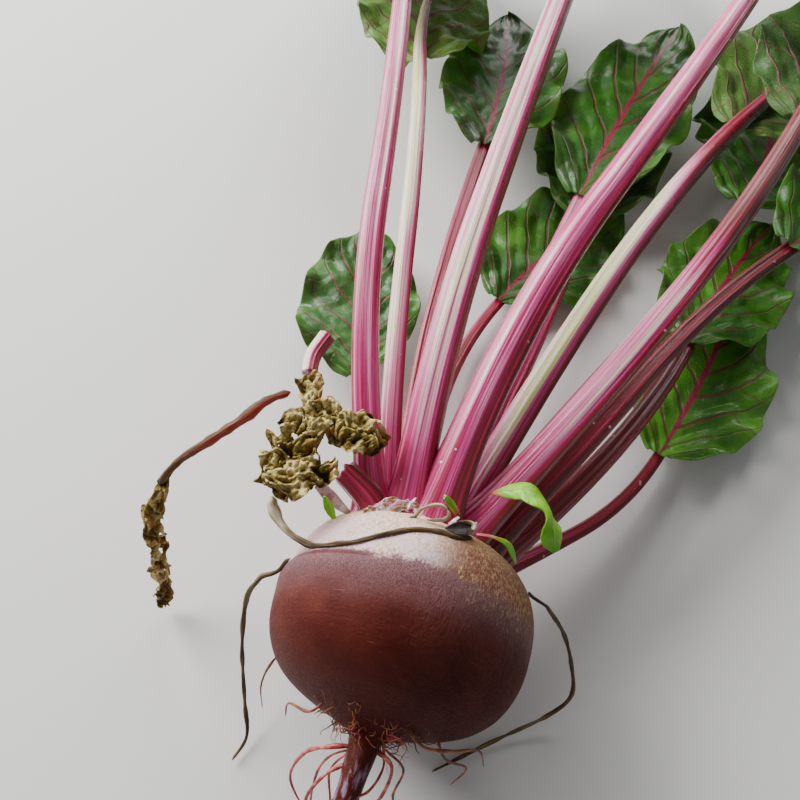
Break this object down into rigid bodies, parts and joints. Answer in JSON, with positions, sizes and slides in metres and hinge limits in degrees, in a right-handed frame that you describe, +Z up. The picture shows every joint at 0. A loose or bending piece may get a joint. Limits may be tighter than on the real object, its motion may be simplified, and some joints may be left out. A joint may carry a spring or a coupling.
{
  "type": "beetroot",
  "caption": "Fresh beetroot lying on its side: round root with a tail and side roots, and a bunch of ribbed red stalks with green leaf blades.",
  "frame": {"origin": "middle of the small flat spot under the swollen root, on the surface it lies on", "axes": "+Z up, +Y from the tail to the crown and on along the leaves, +X to the right seen from above with the leaves ahead"},
  "size_m": [0.2793, 0.4682, 0.082],
  "materials": {
    "root_skin": "matt corky skin, smooth below",
    "stalk": "waxy, ribbed, pink and crimson stripes",
    "blade": "satin leaf with dark red veins",
    "young_leaf": "satin, tender and thin",
    "withered": "dry, crumpled and matt",
    "dry_string": "dry and fibrous",
    "side_root": "thin root skin"
  },
  "bodies": {
    "root": {"root": "root_skin", "leaf_01_stalk": "stalk", "leaf_01_blade": "blade", "leaf_02_stalk": "stalk", "leaf_02_blade": "blade", "leaf_03_stalk": "stalk", "leaf_03_blade": "blade", "leaf_04_stalk": "stalk", "leaf_04_blade": "blade", "leaf_05_stalk": "stalk", "leaf_05_blade": "blade", "leaf_06_stalk": "stalk", "leaf_06_blade": "blade", "leaf_07_stalk": "stalk", "leaf_07_blade": "blade", "leaf_08_stalk": "stalk", "leaf_08_blade": "blade", "leaf_09_stalk": "stalk", "leaf_09_blade": "blade", "leaf_10_stalk": "stalk", "leaf_10_blade": "blade", "leaf_11_stalk": "stalk", "leaf_11_blade": "blade", "leaf_12_stalk": "stalk", "leaf_12_blade": "blade", "leaf_13_stalk": "stalk", "leaf_13_blade": "blade", "leaf_14_stalk": "stalk", "leaf_14_blade": "blade", "leaf_15_stalk": "stalk", "leaf_15_blade": "blade", "outer_stub": "stalk", "withered_stalk": "dry_string", "withered_leaf": "withered", "snapped_stalk_end": "stalk", "dead_stalk": "dry_string", "dead_shred": "withered", "young_leaf_large": "young_leaf", "young_leaf_small": "young_leaf", "bud_leaf": "young_leaf", "green_bud": "young_leaf", "bud_scale": "young_leaf", "left_dry_string": "dry_string", "right_dry_string": "dry_string", "crown_curl": "dry_string", "side_root_1": "side_root", "side_root_2": "side_root", "side_root_3": "side_root", "side_root_4": "side_root", "side_root_5": "side_root", "side_root_6": "side_root", "side_root_7": "side_root", "side_root_8": "side_root"}
  },
  "joints": []
}
